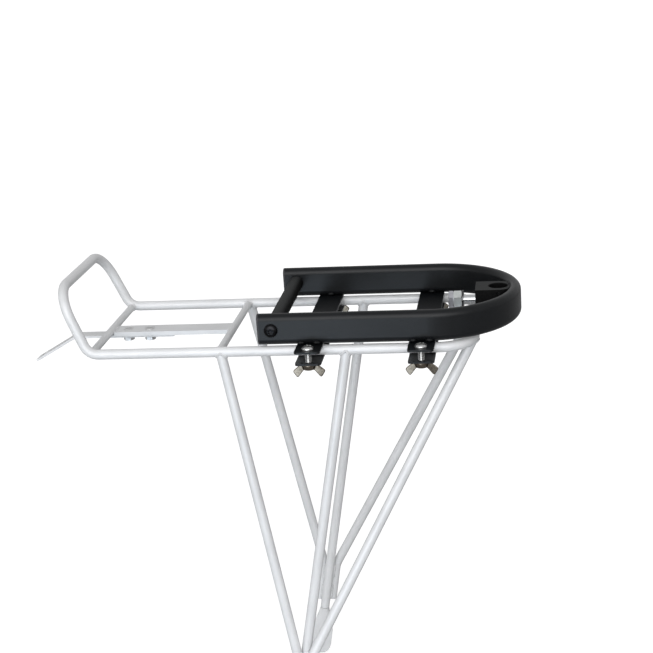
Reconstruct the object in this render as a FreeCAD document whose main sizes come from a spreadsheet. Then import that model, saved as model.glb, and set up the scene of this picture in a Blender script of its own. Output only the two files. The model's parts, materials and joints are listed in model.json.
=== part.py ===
import FreeCAD, Part
import math
import os

import Sketcher
from FreeCAD import Placement, Rotation, Vector

# Bicycle rear rack with a clamped-on trailer coupling frame.
#
# Frame: millimetres, +Z up, +X towards the rear of the bicycle and +Y towards its
# right-hand side. The origin is midway between the two foot eyelets, on their axis.

ROOT_HALF = math.sqrt(0.5)
HEX_CORNER = 1 / math.sqrt(3)       # corner radius of a hexagon of unit width across flats

SIZES = [
    # the carrier: bent rod, struts and feet
    ("rod_diameter", 8.0, "rails, hoop and struts"),
    ("cross_rod_diameter", 6.0, "cross bars between the rails"),
    ("rail_height", 335.0, "rail axis above the foot eyelets"),
    ("rail_half_spacing", 65.0, "rail axis from the mid-plane"),
    ("rear_bar_x", 158.0, "axis of the bar that closes the platform"),
    ("rear_bend", 27.0, "bend radius of the rear corners"),
    ("hoop_base_x", -142.3, "where a rail would meet its hoop leg without a bend"),
    ("hoop_lean", 20.7, "how far the hoop leans forward"),
    ("hoop_rise", 50.2, "hoop top above the rails"),
    ("hoop_top_half_width", 61.6, "hoop corner from the mid-plane"),
    ("hoop_base_bend", 12.0, "bend radius from rail to hoop"),
    ("hoop_top_bend", 26.0, "bend radius of the hoop corners"),
    ("hoop_crossbar_x", -140.6, "cross bar at the foot of the hoop"),
    ("middle_crossbar_x", -37.8, "cross bar near the front struts"),
    ("front_strut_x", -36.7, "top of the front strut"),
    ("middle_strut_x", 61.5, "top of the middle strut"),
    ("rear_strut_x", 157.9, "top of the rear strut"),
    ("knee_x", 13.6, "where the struts come together, along X"),
    ("knee_height", 78.3, "where the struts come together, above the eyelets"),
    ("knee_bend", 30.0, "bend radius of a strut at the knee"),
    ("strut_pitch", 5.5, "fore-and-aft step between neighbouring struts"),
    ("strut_stagger", 6.0, "sideways step between neighbouring struts"),
    ("short_strut_end", 44.0, "lower end of the front and rear struts"),
    ("foot_half_spacing", 76.0, "middle of a foot eyelet from the mid-plane"),
    ("foot_width", 19.0, "width of the flattened eyelet"),
    ("foot_thickness", 4.0, "thickness of the flattened eyelet"),
    ("foot_flat_height", 14.0, "flat part above the eyelet hole"),
    ("foot_neck_height", 38.0, "end of the neck, where the round strut begins"),
    ("foot_hole", 6.4, "eyelet hole for an M6 bolt"),
    # the central bar and the sliding strap
    ("bar_front_x", -137.5, "front end of the central bar"),
    ("bar_rear_x", -40.8, "rear end of the central bar"),
    ("bar_width", 18.0, "central bar"),
    ("bar_thickness", 3.5, "central bar"),
    ("strap_rear_x", -88.0, "rear end of the strap"),
    ("strap_bend_x", -172.0, "where the strap turns down"),
    ("strap_tip_run", 40.0, "sloping part, from the bend to the tip"),
    ("strap_slope", 29.0, "slope of the tip below the horizontal, degrees"),
    ("strap_bend", 8.0, "bend radius at the strap's middle surface"),
    ("strap_width", 12.0, "strap"),
    ("strap_thickness", 2.0, "strap"),
    ("strap_gap", 0.1, "slack between strap and bar"),
    ("strap_slot_front_x", -142.2, "front end of the slot"),
    ("strap_slot_rear_x", -94.5, "rear end of the slot"),
    ("strap_slot_width", 5.4, "slot for the two M5 bolts"),
    ("strap_hole", 6.4, "hole in the tip"),
    ("strap_hole_inset", 8.0, "tip hole from the end of the strap"),
    ("front_bolt_x", -127.4, "front strap bolt"),
    ("rear_bolt_x", -109.3, "rear strap bolt"),
    ("strap_bolt_length", 6.0, "under the head"),
    # the coupling frame
    ("tube_height", 24.5, "flat-oval tube"),
    ("tube_thickness", 10.0, "flat-oval tube"),
    ("tube_wall", 1.5, "flat-oval tube"),
    ("leg_half_spacing", 65.0, "leg axis from the mid-plane, also the bend radius"),
    ("leg_front_x", -4.4, "front end of the tube"),
    ("bend_centre_x", 124.15, "centre of the half-round bend"),
    ("cap_flange", 1.5, "thickness of the end cap's rim"),
    ("cap_plug", 9.0, "depth of the end cap's plug"),
    ("cap_slack", 0.15, "between the plug and the tube's inner wall"),
    ("spacer_x", 5.0, "round spacer bar between the legs"),
    ("spacer_diameter", 12.0, "round spacer bar"),
    ("spacer_thread_depth", 14.0, "tapped hole in each end"),
    ("spacer_screw_length", 22.0, "under the head"),
    # the clamp strips
    ("strip_width", 20.0, "clamp strips"),
    ("strip_thickness", 1.5, "clamp strips"),
    ("strip_corner", 2.5, "corner radius"),
    ("strip_hole", 5.5, "clearance hole for M5"),
    ("front_clamp_x", 34.1, "middle of the front clamp"),
    ("rear_clamp_x", 119.6, "middle of the rear clamp"),
    ("clamp_screw_y", 80.0, "clamp screw from the mid-plane"),
    ("upper_strip_half_length", 87.5, "upper strip"),
    ("lower_strip_half_length", 85.8, "lower strip"),
    ("lower_strip_gap", 0.25, "slack between lower strip and rail"),
    ("clamp_screw_length", 16.0, "under the head"),
    # M5, M6 and M8 hardware
    ("m5_diameter", 5.0, "thread"),
    ("m5_pan_diameter", 9.5, "pan head"),
    ("m5_pan_height", 3.0, "pan head"),
    ("m5_head_flats", 8.0, "hexagon head"),
    ("m5_head_height", 3.5, "hexagon head"),
    ("clinch_diameter", 6.4, "barrel of an M5 clinch nut"),
    ("clinch_depth", 3.2, "barrel of an M5 clinch nut"),
    ("clinch_flange_diameter", 7.8, "flange of an M5 clinch nut"),
    ("clinch_flange_height", 0.5, "flange of an M5 clinch nut"),
    ("recess_span", 5.2, "cross recess"),
    ("recess_width", 1.1, "cross recess"),
    ("recess_depth", 1.6, "cross recess"),
    ("m6_diameter", 6.0, "thread"),
    ("m6_clearance", 6.4, "hole"),
    ("m6_button_diameter", 10.5, "button head"),
    ("m6_button_height", 3.3, "button head"),
    ("m6_hex_key", 4.0, "socket across flats"),
    ("m8_diameter", 8.0, "thread"),
    ("m8_nut_flats", 13.0, "hex nut"),
    ("m8_nut_height", 6.5, "hex nut"),
    ("m8_jam_nut_height", 4.0, "thin hex nut"),
    ("thread_slack", 0.05, "radial running clearance in a tapped hole"),
    ("socket_depth", 1.8, "hexagon socket"),
    # the wing nuts
    ("wing_hub_diameter", 11.0, "at the seat"),
    ("wing_hub_top", 8.6, "at the far end"),
    ("wing_hub_height", 4.5, "hub"),
    ("wing_span", 25.0, "over both wings"),
    ("wing_height", 10.8, "tip of a wing above the seat"),
    ("wing_thickness", 2.3, "wings"),
    # the coupling block and its lock screw
    ("block_front_x", 158.5, "front face of the block"),
    ("block_rear_x", 187.9, "rear end, let into the inner wall of the bend"),
    ("block_width", 25.0, "block"),
    ("block_height", 23.0, "block"),
    ("block_corner", 12.0, "rounding of the rear end"),
    ("notch_slack", 0.05, "between the block and the notch in the tube"),
    ("bore_x", 176.3, "axis of the coupling bore"),
    ("bore_diameter", 14.5, "coupling bore"),
    ("bore_chamfer", 0.6, "edge of the coupling bore"),
    ("lock_height", 12.0, "lock screw above the underside of the block"),
    ("lock_screw_length", 32.0, "stud"),
    ("lock_tip_recess", 0.3, "tip of the stud short of the bore wall"),
    ("lock_nut_x", 141.1, "front face of the hex nut on the stud"),
    ("lock_washer_diameter", 15.0, "plain washer"),
    ("lock_washer_thickness", 1.4, "plain washer"),
    ("grub_diameter", 3.5, "grub screw in the side of the block"),
    ("grub_length", 4.5, "grub screw"),
    ("grub_drop", 3.6, "grub screw below the top of the block"),
]

doc = FreeCAD.newDocument("rear_rack")
sheet = doc.addObject("Spreadsheet::Sheet", "Sizes")
for row, (alias, number, note) in enumerate(SIZES, start=1):
    sheet.set("A%d" % row, alias)
    sheet.set("B%d" % row, str(number))
    sheet.set("C%d" % row, note)
    sheet.setAlias("B%d" % row, alias)
doc.recompute()


class Dim:
    """A size that knows both its value and the sheet expression it comes from."""

    def __init__(self, text, value):
        self.text = text
        self.value = value

    def _joined(self, other, sign, value):
        other_text = other.text if isinstance(other, Dim) else repr(float(other))
        return Dim("(%s %s %s)" % (self.text, sign, other_text), value)

    def __add__(self, other):
        return self._joined(other, "+", self.value + number_of(other))

    def __sub__(self, other):
        return self._joined(other, "-", self.value - number_of(other))

    def __mul__(self, other):
        return self._joined(other, "*", self.value * number_of(other))

    def __truediv__(self, other):
        return self._joined(other, "/", self.value / number_of(other))

    def __neg__(self):
        return self * -1


def number_of(size):
    return size.value if isinstance(size, Dim) else float(size)


class Sheet:
    """Gives each aliased cell as a Dim."""

    def __getattr__(self, name):
        return Dim("Sizes." + name, float(sheet.get(name)))


S = Sheet()
ROD_RADIUS = S.rod_diameter / 2
RAIL_TOP = S.rail_height + ROD_RADIUS
RAIL_UNDERSIDE = S.rail_height - ROD_RADIUS
UPPER_STRIP_TOP = RAIL_TOP + S.strip_thickness
TUBE_MIDDLE = UPPER_STRIP_TOP + S.tube_height / 2
LOWER_STRIP_TOP = RAIL_UNDERSIDE - S.lower_strip_gap
LOWER_STRIP_UNDERSIDE = LOWER_STRIP_TOP - S.strip_thickness
STRAP_TOP = S.rail_height - S.bar_thickness - S.strap_gap
STRAP_MIDDLE = STRAP_TOP - S.strap_thickness / 2
LOCK_AXIS = UPPER_STRIP_TOP + S.lock_height
BLOCK_TOP = UPPER_STRIP_TOP + S.block_height


# ---------------------------------------------------------------- sketches and features

def bind(thing, path, size):
    """Drive a property from the sheet, or set it when the size is a plain number."""
    if isinstance(size, Dim):
        thing.setExpression(path, size.text)


def new_body(label):
    body = doc.addObject("PartDesign::Body", label)
    body.Label = label
    return body


def new_sketch(body, name, role, offset=(0, 0, 0), tilt=None):
    """Sketch on one of the body's own origin planes, moved by offset in that plane's frame."""
    plane = next(item for item in body.Origin.OriginFeatures if item.Role == role)
    sketch = body.newObject("Sketcher::SketchObject", name)
    sketch.AttachmentSupport = [(plane, "")]
    sketch.MapMode = "FlatFace"
    turn = Rotation(Vector(0, 1, 0), number_of(tilt)) if tilt is not None else Rotation()
    sketch.AttachmentOffset = Placement(Vector(*[number_of(part) for part in offset]), turn)
    for axis, part in zip("xyz", offset):
        bind(sketch, "AttachmentOffset.Base." + axis, part)
    return sketch


def pin_point(sketch, geometry, end, x, y):
    """Fix one point of the sketch at (x, y)."""
    for kind, size, axis in (("DistanceX", x, -2), ("DistanceY", y, -1)):
        if isinstance(size, Dim):
            index = sketch.addConstraint(Sketcher.Constraint(kind, -1, 1, geometry, end, size.value))
            sketch.setExpression("Constraints[%d]" % index, size.text)
        else:
            sketch.addConstraint(Sketcher.Constraint("PointOnObject", geometry, end, axis))


def outline(sketch, points, arcs=None, closed=True):
    """Chain of edges through points. arcs gives, for an edge number, a point its arc passes."""
    arcs = arcs or {}
    spots = [Vector(number_of(x), number_of(y), 0) for x, y in points]
    count = len(points) if closed else len(points) - 1
    edges = []
    for index in range(count):
        start, end = spots[index], spots[(index + 1) % len(points)]
        if index in arcs:
            middle = Vector(number_of(arcs[index][0]), number_of(arcs[index][1]), 0)
            curve = Part.Arc(start, middle, end)
            edges.append(sketch.addGeometry(curve, False))
        else:
            edges.append(sketch.addGeometry(Part.LineSegment(start, end), False))
    ends = []
    for index, edge in enumerate(edges):
        start = spots[index]
        first = sketch.getPoint(edge, 1)
        ends.append((1, 2) if first.distanceToPoint(start) < 1e-6 else (2, 1))
    for index, edge in enumerate(edges):
        pin_point(sketch, edge, ends[index][0], *points[index])
        following = index + 1
        if following < count or closed:
            after = following % count
            joint = (edge, ends[index][1], edges[after], ends[after][0])
            sketch.addConstraint(Sketcher.Constraint("Coincident", *joint))
        else:
            pin_point(sketch, edge, ends[index][1], *points[following])
    for index, (x, y) in arcs.items():
        mark = sketch.addGeometry(Part.Point(Vector(number_of(x), number_of(y), 0)), True)
        pin_point(sketch, mark, 1, x, y)
        sketch.addConstraint(Sketcher.Constraint("PointOnObject", mark, 1, edges[index]))
    return edges


def circle(sketch, diameter, x=0, y=0):
    centre = Vector(number_of(x), number_of(y), 0)
    edge = sketch.addGeometry(Part.Circle(centre, Vector(0, 0, 1), diameter.value / 2), False)
    pin_point(sketch, edge, 3, x, y)
    index = sketch.addConstraint(Sketcher.Constraint("Diameter", edge, diameter.value))
    sketch.setExpression("Constraints[%d]" % index, diameter.text)


def hexagon(sketch, across_flats):
    radius = across_flats * HEX_CORNER
    corners = []
    for step in range(6):
        angle = math.radians(60 * step)
        across = 0 if step in (0, 3) else radius * math.sin(angle)
        corners.append((radius * math.cos(angle), across))
    outline(sketch, corners)


def rectangle(sketch, width, height):
    x, y = width / 2, height / 2
    outline(sketch, [(-x, -y), (x, -y), (x, y), (-x, y)])


def rounded_rectangle(sketch, width, height, corner):
    """Rectangle about the sketch origin with four equal round corners."""
    x, y = width / 2, height / 2
    cut = corner * (1 - ROOT_HALF)
    points = []
    arcs = {}
    for sx, sy in ((1, -1), (1, 1), (-1, 1), (-1, -1)):
        beside = (x * sx, (y - corner) * sy)
        along = ((x - corner) * sx, y * sy)
        arcs[len(points)] = ((x - cut) * sx, (y - cut) * sy)
        points += [along, beside] if sx * sy < 0 else [beside, along]
    outline(sketch, points, arcs)


def flat_oval(sketch, height, thickness):
    """Two upright straight sides closed by half circles."""
    x, y = thickness / 2, (height - thickness) / 2
    points = [(x, -y), (x, y), (-x, y), (-x, -y)]
    outline(sketch, points, {1: (0, height / 2), 3: (0, -(height / 2))})


def pad(body, sketch, length, middle=False, backwards=False):
    feature = body.newObject("PartDesign::Pad", body.Name + "_pad")
    feature.Profile = sketch
    feature.Length = number_of(length)
    bind(feature, "Length", length)
    feature.Midplane = middle
    feature.Reversed = backwards
    sketch.Visibility = False
    doc.recompute()
    return feature


def pocket(body, sketch, depth=None, backwards=False):
    """Cut to a depth, or right through both ways when no depth is given."""
    before = body.Shape.Volume
    feature = body.newObject("PartDesign::Pocket", body.Name + "_pocket")
    feature.Profile = sketch
    if depth is None:
        feature.Type = "ThroughAll"
        feature.Midplane = True
    else:
        feature.Length = number_of(depth)
        bind(feature, "Length", depth)
        feature.Reversed = backwards
    doc.recompute()
    if body.Shape.Volume > before - 1e-6:
        raise RuntimeError("%s: a pocket cuts nothing" % body.Label)
    return feature


def revolve(body, sketch, kind="Revolution"):
    feature = body.newObject("PartDesign::" + kind, body.Name + "_" + kind.lower())
    feature.Profile = sketch
    feature.ReferenceAxis = (sketch, ["V_Axis"])
    feature.Angle = 360
    doc.recompute()
    return feature


def pipe(body, profile, path):
    feature = body.newObject("PartDesign::AdditivePipe", body.Name + "_pipe")
    feature.Profile = profile
    feature.Spine = (path, [])
    doc.recompute()
    return feature


def round_edges(body, kind, amount, chosen):
    """Fillet or Chamfer on the edges of the body for which chosen(edge) holds."""
    tip = body.Tip
    names = ["Edge%d" % (i + 1) for i, edge in enumerate(tip.Shape.Edges) if chosen(edge)]
    feature = body.newObject("PartDesign::" + kind, body.Name + "_" + kind.lower())
    feature.Base = (tip, names)
    size_name = "Radius" if kind == "Fillet" else "Size"
    setattr(feature, size_name, number_of(amount))
    bind(feature, size_name, amount)
    doc.recompute()
    return feature


def place(thing, x=0, y=0, z=0, turn=None):
    """Put a finished sub-part where it belongs; its position stays bound to the sheet."""
    spot = Vector(number_of(x), number_of(y), number_of(z))
    thing.Placement = Placement(spot, turn or Rotation())
    for axis, size in zip("xyz", (x, y, z)):
        bind(thing, "Placement.Base." + axis, size)
    return thing


SIDES = (("left", -1), ("right", 1))
UPSIDE_DOWN = Rotation(Vector(1, 0, 0), 180)


# ---------------------------------------------------------------- bent rods

def bent_wire(points, radii):
    """Straight runs joined by tangent arcs; one radius for each inner point."""
    edges = []
    start = points[0]
    for before, corner, after, radius in zip(points, points[1:], points[2:], radii):
        back = (before - corner).normalize()
        ahead = (after - corner).normalize()
        half_turn = back.getAngle(ahead) / 2
        reach = radius / math.tan(half_turn)
        bisector = (back + ahead).normalize()
        centre = corner + bisector * (radius / math.sin(half_turn))
        first, last = corner + back * reach, corner + ahead * reach
        edges.append(Part.LineSegment(start, first).toShape())
        edges.append(Part.Arc(first, centre - bisector * radius, last).toShape())
        start = last
    edges.append(Part.LineSegment(start, points[-1]).toShape())
    return Part.Wire(edges)


def rod_solid(points, radii, radius):
    wire = bent_wire(points, radii)
    ring = Part.Wire(Part.makeCircle(radius, points[0], points[1] - points[0]))
    return wire.makePipeShell([ring], True, False)


def shape_feature(label, shape):
    thing = doc.addObject("Part::Feature", label)
    thing.Label = label
    thing.Shape = shape
    thing.Placement = Placement()
    return thing


def platform_loop():
    """Rails, hoop and rear bar: one rod, welded to itself under the rear bar."""
    height = S.rail_height.value
    half = S.rail_half_spacing.value
    hoop_top = Vector(S.hoop_base_x.value - S.hoop_lean.value, 0, height + S.hoop_rise.value)
    side = Vector(0, S.hoop_top_half_width.value, 0)
    points = [
        hoop_top,
        hoop_top + side,
        Vector(S.hoop_base_x.value, half, height),
        Vector(S.rear_bar_x.value, half, height),
        Vector(S.rear_bar_x.value, 0, height),
    ]
    radii = [S.hoop_top_bend.value, S.hoop_base_bend.value, S.rear_bend.value]
    right = rod_solid(points, radii, ROD_RADIUS.value)
    left = right.mirror(Vector(), Vector(0, 1, 0))
    return shape_feature("platform_loop", right.fuse(left).removeSplitter().Solids[0])


def crossbar(label, x):
    """Round bar between the inner sides of the two rails."""
    bar = doc.addObject("Part::Cylinder", label)
    bar.Label = label
    reach = S.rail_half_spacing - ROD_RADIUS
    bind(bar, "Radius", S.cross_rod_diameter / 2)
    bind(bar, "Height", reach * 2)
    return place(bar, x, -reach, S.rail_height, Rotation(Vector(1, 0, 0), -90))


def strut(name, top_x, step, rails):
    """Rod from a rail to the bundle above the foot: in front of it, in it or behind it."""
    lean = S.knee_x.value / S.knee_height.value
    inset = 0.0
    corner_x = S.rear_bar_x.value - S.rear_bend.value
    if top_x > corner_x:
        bend = S.rear_bend.value
        inset = bend - math.sqrt(bend ** 2 - (top_x - corner_x) ** 2)
    outward = S.strut_stagger.value if step else 0.0
    along = step * S.strut_pitch.value
    foot_y = S.foot_half_spacing.value + outward
    end_z = S.short_strut_end.value if step else S.foot_neck_height.value
    for side, sign in SIDES:
        points = [
            Vector(top_x, sign * (S.rail_half_spacing.value - inset), S.rail_height.value),
            Vector(S.knee_x.value + along, sign * foot_y, S.knee_height.value),
            Vector(end_z * lean + along, sign * foot_y, end_z),
        ]
        solid = rod_solid(points, [S.knee_bend.value], ROD_RADIUS.value)
        largest = max(solid.cut(rails.Shape).Solids, key=lambda piece: piece.Volume)
        shape_feature("strut_%s_%s" % (name, side), largest)


def foot(side, sign):
    """Strut end forged flat, with the eyelet hole at the origin of its own frame."""
    body = new_body("foot_" + side)
    half = S.foot_width / 2
    flat = new_sketch(body, body.Name + "_flat", "XZ_Plane")
    points = [(-half, 0), (half, 0), (half, S.foot_flat_height), (-half, S.foot_flat_height)]
    outline(flat, points, {0: (0, -half)})
    pad(body, flat, S.foot_thickness, middle=True)
    lower = new_sketch(body, body.Name + "_neck_lower", "XY_Plane", (0, 0, S.foot_flat_height))
    rectangle(lower, S.foot_width, S.foot_thickness)
    upper = new_sketch(body, body.Name + "_neck_upper", "XY_Plane", (0, 0, S.foot_neck_height))
    circle(upper, S.rod_diameter)
    doc.recompute()
    neck = body.newObject("PartDesign::AdditiveLoft", body.Name + "_neck")
    neck.Profile = lower
    neck.Sections = [upper]
    doc.recompute()
    hole = new_sketch(body, body.Name + "_hole", "XZ_Plane")
    circle(hole, S.foot_hole)
    pocket(body, hole)
    lean = math.degrees(math.atan2(S.knee_x.value, S.knee_height.value))
    place(body, 0, S.foot_half_spacing * sign, 0, Rotation(Vector(0, 1, 0), lean))


# ---------------------------------------------------------------- bar and strap

def central_bar():
    body = new_body("central_bar")
    length = S.bar_rear_x - S.bar_front_x
    middle = (S.bar_rear_x + S.bar_front_x) / 2
    plan = new_sketch(body, "bar_plan", "XY_Plane")
    rectangle(plan, length, S.bar_width)
    pad(body, plan, S.bar_thickness, backwards=True)
    holes = new_sketch(body, "bar_holes", "XY_Plane")
    for x in (S.front_bolt_x, S.rear_bolt_x):
        circle(holes, S.clinch_diameter + S.thread_slack * 2, x - middle)
    pocket(body, holes)
    place(body, middle, 0, S.rail_height)


def front_strap():
    """Flat strap with a long slot, bent down at its front end."""
    body = new_body("front_strap")
    slope = math.radians(S.strap_slope.value)
    reach = S.strap_bend * math.tan(slope / 2)
    half_reach = S.strap_bend * (1 - math.cos(slope / 2))
    bend_x = S.strap_bend_x
    points = [
        (S.strap_rear_x, STRAP_MIDDLE),
        (bend_x + reach, STRAP_MIDDLE),
        (bend_x - reach * math.cos(slope), STRAP_MIDDLE - reach * math.sin(slope)),
        (bend_x - S.strap_tip_run * math.cos(slope), STRAP_MIDDLE - S.strap_tip_run * math.sin(slope)),
    ]
    arc_x = bend_x + reach - S.strap_bend * math.sin(slope / 2)
    path = new_sketch(body, "strap_path", "XZ_Plane")
    outline(path, points, {1: (arc_x, STRAP_MIDDLE - half_reach)}, closed=False)
    section = new_sketch(body, "strap_section", "YZ_Plane", (0, STRAP_MIDDLE, S.strap_rear_x))
    rectangle(section, S.strap_width, S.strap_thickness)
    doc.recompute()
    pipe(body, section, path)
    slot = new_sketch(body, "strap_slot", "XY_Plane", (0, 0, STRAP_MIDDLE))
    half = S.strap_slot_width / 2
    front, rear = S.strap_slot_front_x, S.strap_slot_rear_x
    corners = [(front + half, -half), (rear - half, -half), (rear - half, half), (front + half, half)]
    outline(slot, corners, {1: (rear, 0), 3: (front, 0)})
    pocket(body, slot)
    run = S.strap_tip_run - S.strap_hole_inset
    spot = (bend_x - run * math.cos(slope), 0, STRAP_MIDDLE - run * math.sin(slope))
    hole = new_sketch(body, "strap_hole", "XY_Plane", spot, tilt=-S.strap_slope)
    bind(hole, "AttachmentOffset.Rotation.Angle", -S.strap_slope)
    circle(hole, S.strap_hole)
    pocket(body, hole)
    return body


# ---------------------------------------------------------------- fasteners

def screw_body(label, shank, length, head, height, rim, flat):
    """Screw along Z: shank below the origin, domed head above it."""
    body = new_body(label)
    profile = new_sketch(body, body.Name + "_profile", "XZ_Plane")
    radius, head_radius = shank / 2, head / 2
    bulge_x = (head_radius + flat) / 2 + (height - rim) * 0.2
    bulge_z = (height + rim) / 2 + (head_radius - flat) * 0.2
    points = [
        (0, -length), (radius, -length), (radius, 0), (head_radius, 0),
        (head_radius, rim), (flat, height), (0, height),
    ]
    outline(profile, points, {4: (bulge_x, bulge_z)})
    revolve(body, profile)
    return body


def button_screw(label, shank, length, head, height, key):
    body = screw_body(label, shank, length, head, height, height * 0.18, key * 0.85)
    socket = new_sketch(body, body.Name + "_socket", "XY_Plane", (0, 0, height))
    hexagon(socket, key)
    pocket(body, socket, S.socket_depth)
    return body


def clamp_screw(label):
    body = screw_body(label, S.m5_diameter, S.clamp_screw_length, S.m5_pan_diameter,
                      S.m5_pan_height, S.m5_pan_height * 0.25, S.m5_pan_diameter * 0.12)
    for name, width, height in (("long", S.recess_span, S.recess_width),
                                ("wide", S.recess_width, S.recess_span)):
        slot = new_sketch(body, "%s_%s" % (body.Name, name), "XY_Plane", (0, 0, S.m5_pan_height))
        rectangle(slot, width, height)
        pocket(body, slot, S.recess_depth)
    return body


def turn_corners(body, across_flats, height, at_foot):
    """Turn off the corners of a hexagon at its top, and at its foot as well for a nut."""
    corner = across_flats * HEX_CORNER
    inner, beyond = across_flats / 2, corner + 1
    drop = (beyond - inner) * math.tan(math.radians(30))
    turned = new_sketch(body, body.Name + "_turned", "XZ_Plane")
    outline(turned, [(inner, height), (beyond, height - drop), (beyond, height)])
    if at_foot:
        outline(turned, [(inner, 0), (beyond, 0), (beyond, drop)])
    before = body.Shape.Volume
    revolve(body, turned, "Groove")
    if body.Shape.Volume > before - 1e-6:
        raise RuntimeError("%s: the corners are not turned off" % body.Label)


def hex_nut(label, across_flats, height, bore):
    """Nut along Z from the origin up, with its corners turned off at both ends."""
    body = new_body(label)
    plan = new_sketch(body, body.Name + "_plan", "XY_Plane")
    hexagon(plan, across_flats)
    circle(plan, bore)
    pad(body, plan, height)
    turn_corners(body, across_flats, height, True)
    return body


def hex_bolt(label, shank, length, across_flats, height):
    """Bolt along Z: shank below the origin, hexagon head above it."""
    body = new_body(label)
    plan = new_sketch(body, body.Name + "_plan", "XY_Plane")
    hexagon(plan, across_flats)
    pad(body, plan, height)
    turn_corners(body, across_flats, height, False)
    section = new_sketch(body, body.Name + "_section", "XY_Plane")
    circle(section, shank)
    pad(body, section, length, backwards=True)
    return body


def clinch_nut(label):
    """Tapped bush pressed into the bar from above, with a low flange."""
    body = new_body(label)
    profile = new_sketch(body, body.Name + "_profile", "XZ_Plane")
    bore = S.m5_diameter / 2 + S.thread_slack
    barrel, flange = S.clinch_diameter / 2, S.clinch_flange_diameter / 2
    outline(profile, [
        (bore, -S.clinch_depth), (barrel, -S.clinch_depth), (barrel, 0), (flange, 0),
        (flange, S.clinch_flange_height), (bore, S.clinch_flange_height),
    ])
    revolve(body, profile)
    return body


def wing_nut(label):
    """Seat on the origin plane, wings rising away from it along Z."""
    body = new_body(label)
    hub = new_sketch(body, body.Name + "_hub", "XZ_Plane")
    seat, end = S.wing_hub_diameter / 2, S.wing_hub_top / 2
    bore = S.m5_diameter / 2 + S.thread_slack
    outline(hub, [(bore, 0), (seat, 0), (end, S.wing_hub_height), (bore, S.wing_hub_height)])
    revolve(body, hub)
    wings = new_sketch(body, body.Name + "_wings", "XZ_Plane")
    tip = S.wing_span / 2
    top = S.wing_height
    root = bore + 0.7
    for sign in (-1, 1):
        points = [
            (root * sign, top * 0.1), (tip * sign * 0.46, top * 0.06),
            (tip * sign * 0.96, top * 0.5), (tip * sign * 0.97, top * 0.62),
            (tip * sign * 0.76, top * 0.985), (tip * sign * 0.68, top * 0.97),
            (tip * sign * 0.35, top * 0.41), (root * sign, top * 0.38),
        ]
        outline(wings, points, {2: (tip * sign, top * 0.56), 4: (tip * sign * 0.72, top)})
    pad(body, wings, S.wing_thickness, middle=True)
    return body


def washer(label, diameter, bore, thickness):
    body = new_body(label)
    plan = new_sketch(body, body.Name + "_plan", "XY_Plane")
    circle(plan, diameter)
    circle(plan, bore)
    pad(body, plan, thickness)
    return body


# ---------------------------------------------------------------- coupling frame

def block_outline(sketch, front, rear, half, corner):
    """Plan of the coupling block: square at the front, rounded at the rear."""
    cut = corner * (1 - ROOT_HALF)
    points = [
        (front, -half), (rear - corner, -half), (rear, -half + corner),
        (rear, half - corner), (rear - corner, half), (front, half),
    ]
    outline(sketch, points, {1: (rear - cut, -half + cut), 3: (rear - cut, half - cut)})


def coupling_frame():
    """U-shaped flat-oval tube, drilled for the spacer screws and notched for the block."""
    body = new_body("coupling_frame")
    half = S.leg_half_spacing
    section = new_sketch(body, "tube_section", "YZ_Plane", (-half, TUBE_MIDDLE, S.leg_front_x))
    flat_oval(section, S.tube_height, S.tube_thickness)
    flat_oval(section, S.tube_height - S.tube_wall * 2, S.tube_thickness - S.tube_wall * 2)
    path = new_sketch(body, "tube_path", "XY_Plane", (0, 0, TUBE_MIDDLE))
    points = [
        (S.leg_front_x, -half), (S.bend_centre_x, -half),
        (S.bend_centre_x, half), (S.leg_front_x, half),
    ]
    outline(path, points, {1: (S.bend_centre_x + half, 0)}, closed=False)
    doc.recompute()
    pipe(body, section, path)
    drilled = new_sketch(body, "tube_drilling", "XZ_Plane")
    circle(drilled, S.m6_clearance, S.spacer_x, TUBE_MIDDLE)
    pocket(body, drilled)
    notch = new_sketch(body, "tube_notch", "XY_Plane", (0, 0, UPPER_STRIP_TOP))
    slack = S.notch_slack
    block_outline(notch, S.bore_x, S.block_rear_x + slack, S.block_width / 2 + slack,
                  S.block_corner + slack)
    pocket(body, notch, S.block_height + slack, backwards=True)


def end_cap(side, sign):
    body = new_body("end_cap_" + side)
    rim = new_sketch(body, body.Name + "_rim", "YZ_Plane")
    flat_oval(rim, S.tube_height, S.tube_thickness)
    pad(body, rim, S.cap_flange, backwards=True)
    plug = new_sketch(body, body.Name + "_plug", "YZ_Plane")
    shrink = (S.tube_wall + S.cap_slack) * 2
    flat_oval(plug, S.tube_height - shrink, S.tube_thickness - shrink)
    pad(body, plug, S.cap_plug)
    outer = -S.cap_flange.value

    def on_rim(edge):
        return all(abs(vertex.X - outer) < 1e-4 for vertex in edge.Vertexes)

    round_edges(body, "Fillet", S.cap_flange * 0.6, on_rim)
    drilled = new_sketch(body, body.Name + "_drilling", "XZ_Plane")
    notch_x = S.spacer_x - S.leg_front_x
    circle(drilled, S.m6_clearance + 0.6, notch_x)
    pocket(body, drilled)
    place(body, S.leg_front_x, S.leg_half_spacing * sign, TUBE_MIDDLE)


def spacer_bar():
    """Round bar tapped at both ends."""
    body = new_body("spacer_bar")
    length = S.leg_half_spacing * 2 - S.tube_thickness
    round_section = new_sketch(body, "spacer_section", "XZ_Plane")
    circle(round_section, S.spacer_diameter)
    pad(body, round_section, length, middle=True)
    tapped = S.m6_diameter + S.thread_slack * 2
    for side, sign in SIDES:
        mouth = new_sketch(body, "spacer_mouth_" + side, "XZ_Plane", (0, 0, length / 2 * -sign))
        circle(mouth, tapped)
        pocket(body, mouth, S.spacer_thread_depth, backwards=sign > 0)
    place(body, S.spacer_x, 0, TUBE_MIDDLE)


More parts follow.
